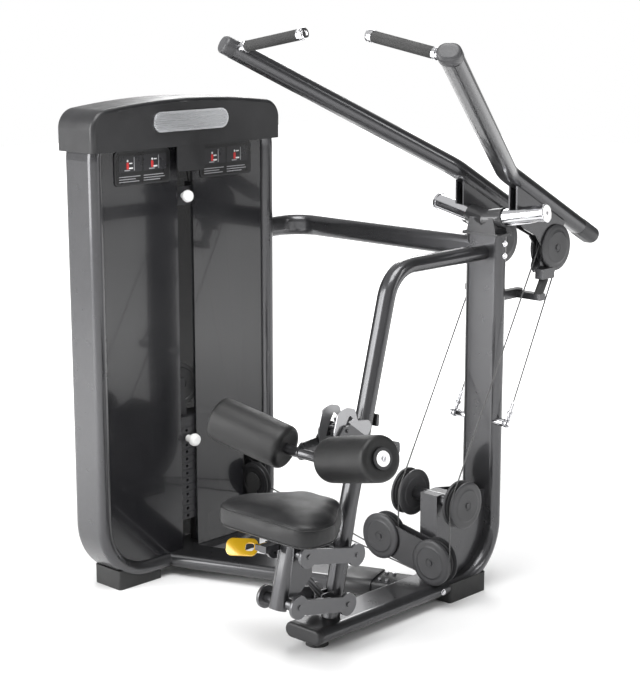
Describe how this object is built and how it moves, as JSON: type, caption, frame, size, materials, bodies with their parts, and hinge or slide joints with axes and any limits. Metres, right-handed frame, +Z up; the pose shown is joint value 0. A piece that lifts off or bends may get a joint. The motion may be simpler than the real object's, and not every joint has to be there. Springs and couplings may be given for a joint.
{
  "type": "lat pulldown machine",
  "caption": "Selectorised lat pulldown machine: weight tower with cap and shields, L-shaped frame, two cable-linked lever arms, linkage seat and thigh roller pads.",
  "frame": {"origin": "centre of the rear foot's underside, on the floor under the upright's bend", "axes": "+Z up, +Y the way the user faces, +X to the user's right; the weight tower stands on -X"},
  "size_m": [1.4349, 1.5162, 1.8708],
  "materials": {
    "frame_paint": "gloss charcoal metallic",
    "grey_paint": "satin mid grey metallic",
    "black_plastic": "moulded satin",
    "smoked_panel": "smoked gloss",
    "plaque": "printed panel",
    "vinyl": "soft vinyl",
    "foam": "moulded foam",
    "rubber": "matte",
    "chrome": "polished",
    "steel": "plain steel",
    "plate_black": "black powder coat",
    "cable": "sheathed wire rope",
    "white_knob": "gloss",
    "yellow_lever": "gloss"
  },
  "bodies": {
    "frame": {"main_frame": "frame_paint", "tower_loop": "frame_paint", "front_tube": "frame_paint", "top_link_tube": "frame_paint", "crossbeam": "frame_paint", "crossbeam_joint": "black_plastic", "feet_and_end_cap": "rubber", "tower_cap": "black_plastic", "tower_plaques": "plaque", "tower_shields": "smoked_panel", "stack_guides": "chrome", "resting_plates": "plate_black", "fixed_cables": "cable", "pulley_post": "frame_paint", "wheel_guards": "black_plastic", "head_bracket": "frame_paint", "arm_stops": "rubber", "pad_adjuster": "grey_paint", "frame_fasteners": "chrome"},
    "left_arm": {"left_arm": "frame_paint", "left_handle": "rubber", "left_arm_trim": "black_plastic"},
    "left_arm_wheel": {"left_arm_wheel": "black_plastic"},
    "left_anchor": {"left_anchor": "steel"},
    "left_rear_strand": {"left_rear_strand": "cable"},
    "left_mid_wrap": {"left_mid_wrap": "cable"},
    "left_front_strand": {"left_front_strand": "cable"},
    "left_mid_wheel": {"left_mid_wheel": "black_plastic"},
    "left_floor_wheel": {"left_floor_wheel": "black_plastic"},
    "left_exit_wheel": {"left_exit_wheel": "black_plastic"},
    "left_top_wheel": {"left_top_wheel": "black_plastic"},
    "right_arm": {"right_arm": "frame_paint", "right_handle": "rubber", "right_arm_trim": "black_plastic"},
    "right_arm_wheel": {"right_arm_wheel": "black_plastic"},
    "right_anchor": {"right_anchor": "steel"},
    "right_rear_strand": {"right_rear_strand": "cable"},
    "right_mid_wrap": {"right_mid_wrap": "cable"},
    "right_front_strand": {"right_front_strand": "cable"},
    "right_mid_wheel": {"right_mid_wheel": "black_plastic"},
    "right_floor_wheel": {"right_floor_wheel": "black_plastic"},
    "right_exit_wheel": {"right_exit_wheel": "black_plastic"},
    "right_top_wheel": {"right_top_wheel": "black_plastic"},
    "lift": {"lift_carriage": "plate_black", "lifted_plates": "plate_black", "stack_strands": "cable"},
    "selector_pin": {"selector_pin": "white_knob"},
    "floating_wheel": {"floating_wheel": "black_plastic"},
    "add_on_weight": {"add_on_weight": "plate_black"},
    "add_on_knob": {"add_on_knob": "white_knob"},
    "lower_links": {"lower_links": "grey_paint"},
    "upper_links": {"upper_links": "grey_paint"},
    "seat": {"seat_carriage": "frame_paint", "seat_pad": "vinyl"},
    "gas_cylinder": {"gas_cylinder": "frame_paint"},
    "gas_rod": {"gas_rod": "chrome"},
    "release_lever": {"release_lever": "yellow_lever"},
    "thigh_arm": {"thigh_arm": "frame_paint"},
    "left_thigh_roller": {"left_thigh_roller": "foam"},
    "right_thigh_roller": {"right_thigh_roller": "foam"}
  },
  "joints": [
    {"name": "left_arm_swing", "type": "hinge", "parent": "frame", "child": "left_arm", "pos_m": [0, 0.158, 1.24], "axis": [0.9794, -0.1029, -0.1736], "range_deg": [0, 48]},
    {"name": "left_arm_wheel_spin", "type": "hinge", "parent": "left_arm", "child": "left_arm_wheel", "pos_m": [-0.11, 0.362, 1.14], "axis": [1, 0, 0], "range_deg": [-220.62, 2]},
    {"name": "left_anchor_swing", "type": "hinge", "parent": "frame", "child": "left_anchor", "pos_m": [-0.11, 0.14701, 0.57376], "axis": [0.8085, 0.5268, -0.2624], "range_deg": [-1, 6.46]},
    {"name": "left_rear_strand_run", "type": "slide", "parent": "left_anchor", "child": "left_rear_strand", "axis": [0, 0.4458, 0.8951], "range_m": [-0.002, 0.18068], "deforming": ["left_rear_strand"]},
    {"name": "left_front_strand_swing", "type": "hinge", "parent": "frame", "child": "left_mid_wrap", "pos_m": [-0.11, -0.081, 0.345], "axis": [0.9357, 0.3081, -0.1717], "range_deg": [-1, 4.76], "deforming": ["left_mid_wrap"]},
    {"name": "left_front_strand_run", "type": "slide", "parent": "left_mid_wrap", "child": "left_front_strand", "axis": [0, 0.4868, 0.8735], "range_m": [-0.002, 0.17276], "deforming": ["left_front_strand"]},
    {"name": "left_mid_wheel_spin", "type": "hinge", "parent": "frame", "child": "left_mid_wheel", "pos_m": [-0.11, -0.081, 0.345], "axis": [1, 0, 0], "range_deg": [-335.69, 2]},
    {"name": "left_floor_wheel_spin", "type": "hinge", "parent": "frame", "child": "left_floor_wheel", "pos_m": [-0.16991, -0.13764, 0.19469], "axis": [-0.056, -0.9984, 0], "range_deg": [-2, 335.69]},
    {"name": "left_exit_wheel_spin", "type": "hinge", "parent": "frame", "child": "left_exit_wheel", "pos_m": [-0.83525, -0.11379, 0.30279], "axis": [-0.0908, -0.9711, -0.2207], "range_deg": [-2, 335.69]},
    {"name": "left_top_wheel_spin", "type": "hinge", "parent": "frame", "child": "left_top_wheel", "pos_m": [-0.895, -0.4345, 1.468], "axis": [1, 0, 0], "range_deg": [-335.69, 2]},
    {"name": "right_arm_swing", "type": "hinge", "parent": "frame", "child": "right_arm", "pos_m": [0, 0.158, 1.24], "axis": [0.9794, 0.1029, 0.1736], "range_deg": [0, 48]},
    {"name": "right_arm_wheel_spin", "type": "hinge", "parent": "right_arm", "child": "right_arm_wheel", "pos_m": [0.11, 0.362, 1.14], "axis": [1, 0, 0], "range_deg": [-220.62, 2]},
    {"name": "right_anchor_swing", "type": "hinge", "parent": "frame", "child": "right_anchor", "pos_m": [0.11, 0.14701, 0.57376], "axis": [0.8085, -0.5268, 0.2624], "range_deg": [-1, 6.46]},
    {"name": "right_rear_strand_run", "type": "slide", "parent": "right_anchor", "child": "right_rear_strand", "axis": [0, 0.4458, 0.8951], "range_m": [-0.002, 0.18068], "deforming": ["right_rear_strand"]},
    {"name": "right_front_strand_swing", "type": "hinge", "parent": "frame", "child": "right_mid_wrap", "pos_m": [0.11, -0.081, 0.345], "axis": [0.9357, -0.3081, 0.1717], "range_deg": [-1, 4.76], "deforming": ["right_mid_wrap"]},
    {"name": "right_front_strand_run", "type": "slide", "parent": "right_mid_wrap", "child": "right_front_strand", "axis": [0, 0.4868, 0.8735], "range_m": [-0.002, 0.17276], "deforming": ["right_front_strand"]},
    {"name": "right_mid_wheel_spin", "type": "hinge", "parent": "frame", "child": "right_mid_wheel", "pos_m": [0.11, -0.081, 0.345], "axis": [1, 0, 0], "range_deg": [-335.69, 2]},
    {"name": "right_floor_wheel_spin", "type": "hinge", "parent": "frame", "child": "right_floor_wheel", "pos_m": [0.05, -0.141, 0.15307], "axis": [0, -1, 0], "range_deg": [-2, 335.69]},
    {"name": "right_exit_wheel_spin", "type": "hinge", "parent": "frame", "child": "right_exit_wheel", "pos_m": [-0.779, -0.1464, 0.25765], "axis": [-0.0113, -0.9959, -0.0893], "range_deg": [-2, 335.69]},
    {"name": "right_top_wheel_spin", "type": "hinge", "parent": "frame", "child": "right_top_wheel", "pos_m": [-0.839, -0.3145, 1.468], "axis": [1, 0, 0], "range_deg": [-335.69, 2]},
    {"name": "stack_lift", "type": "slide", "parent": "frame", "child": "lift", "axis": [0, 0, 1], "range_m": [0, 0.34964], "deforming": ["stack_strands"]},
    {"name": "selector_pin_pull", "type": "slide", "parent": "lift", "child": "selector_pin", "axis": [1, 0, 0], "range_m": [0, 0.06]},
    {"name": "floating_wheel_spin", "type": "hinge", "parent": "lift", "child": "floating_wheel", "pos_m": [-0.867, -0.4345, 0.6487], "axis": [0.9062, -0.4229, 0], "continuous": true},
    {"name": "add_on_weight_slide", "type": "slide", "parent": "frame", "child": "add_on_weight", "axis": [0, 0, -1], "range_m": [0, 0.15]},
    {"name": "add_on_knob_pull", "type": "slide", "parent": "add_on_weight", "child": "add_on_knob", "axis": [1, 0, 0], "range_m": [0, 0.008], "stiffness_N_per_m": 300},
    {"name": "seat_height", "type": "hinge", "parent": "frame", "child": "lower_links", "pos_m": [0, -0.584, 0.131], "axis": [1, 0, 0], "range_deg": [-10, 12]},
    {"name": "upper_links_swing", "type": "hinge", "parent": "frame", "child": "upper_links", "pos_m": [0, -0.544, 0.28], "axis": [1, 0, 0], "range_deg": [-10.5, 12.5]},
    {"name": "seat_level", "type": "hinge", "parent": "lower_links", "child": "seat", "pos_m": [0, -0.797, 0.1775], "axis": [1, 0, 0], "range_deg": [-12.5, 10.5]},
    {"name": "gas_cylinder_swing", "type": "hinge", "parent": "frame", "child": "gas_cylinder", "pos_m": [0, -0.626, 0.15], "axis": [1, 0, 0], "range_deg": [-12, 14.3]},
    {"name": "gas_rod_swing", "type": "hinge", "parent": "seat", "child": "gas_rod", "pos_m": [0, -0.724, 0.268], "axis": [1, 0, 0], "range_deg": [-12, 14.3]},
    {"name": "release_lever_lift", "type": "hinge", "parent": "seat", "child": "release_lever", "pos_m": [-0.062, -0.818, 0.345], "axis": [0, 1, 0], "range_deg": [0, 12], "stiffness_Nm_per_rad": 2},
    {"name": "thigh_pad_height", "type": "hinge", "parent": "frame", "child": "thigh_arm", "pos_m": [0, -0.334, 0.568], "axis": [1, 0, 0], "range_deg": [-9.5, 5]},
    {"name": "left_thigh_roller_spin", "type": "hinge", "parent": "thigh_arm", "child": "left_thigh_roller", "pos_m": [-0.07, -0.676, 0.609], "axis": [-0.9507, -0.1972, 0.2394], "continuous": true},
    {"name": "right_thigh_roller_spin", "type": "hinge", "parent": "thigh_arm", "child": "right_thigh_roller", "pos_m": [0.07, -0.676, 0.609], "axis": [0.9507, -0.1972, 0.2394], "continuous": true}
  ],
  "couplings": [
    {"joint": "left_arm_wheel_spin", "follows": "left_arm_swing", "ratio": -4.5546},
    {"joint": "left_anchor_swing", "follows": "left_arm_swing", "ratio": 0.11374},
    {"joint": "left_rear_strand_run", "follows": "left_arm_swing", "m_per_rad": 0.21328},
    {"joint": "left_front_strand_swing", "follows": "left_arm_swing", "ratio": 0.078368},
    {"joint": "left_front_strand_run", "follows": "left_arm_swing", "m_per_rad": 0.20383},
    {"joint": "left_mid_wheel_spin", "follows": "left_arm_swing", "ratio": -6.9518},
    {"joint": "left_floor_wheel_spin", "follows": "left_arm_swing", "ratio": 6.9518},
    {"joint": "left_exit_wheel_spin", "follows": "left_arm_swing", "ratio": 6.9518},
    {"joint": "left_top_wheel_spin", "follows": "left_arm_swing", "ratio": -6.9518},
    {"joint": "right_arm_swing", "follows": "left_arm_swing", "ratio": 1},
    {"joint": "right_arm_wheel_spin", "follows": "left_arm_swing", "ratio": -4.5546},
    {"joint": "right_anchor_swing", "follows": "left_arm_swing", "ratio": 0.11374},
    {"joint": "right_rear_strand_run", "follows": "left_arm_swing", "m_per_rad": 0.21328},
    {"joint": "right_front_strand_swing", "follows": "left_arm_swing", "ratio": 0.078368},
    {"joint": "right_front_strand_run", "follows": "left_arm_swing", "m_per_rad": 0.20383},
    {"joint": "right_mid_wheel_spin", "follows": "left_arm_swing", "ratio": -6.9518},
    {"joint": "right_floor_wheel_spin", "follows": "left_arm_swing", "ratio": 6.9518},
    {"joint": "right_exit_wheel_spin", "follows": "left_arm_swing", "ratio": 6.9518},
    {"joint": "right_top_wheel_spin", "follows": "left_arm_swing", "ratio": -6.9518},
    {"joint": "stack_lift", "follows": "left_arm_swing", "m_per_rad": 0.41711},
    {"joint": "upper_links_swing", "follows": "seat_height", "ratio": 1},
    {"joint": "seat_level", "follows": "seat_height", "ratio": -1},
    {"joint": "gas_cylinder_swing", "follows": "seat_height", "ratio": 1.15},
    {"joint": "gas_rod_swing", "follows": "seat_height", "ratio": 1.15}
  ]
}
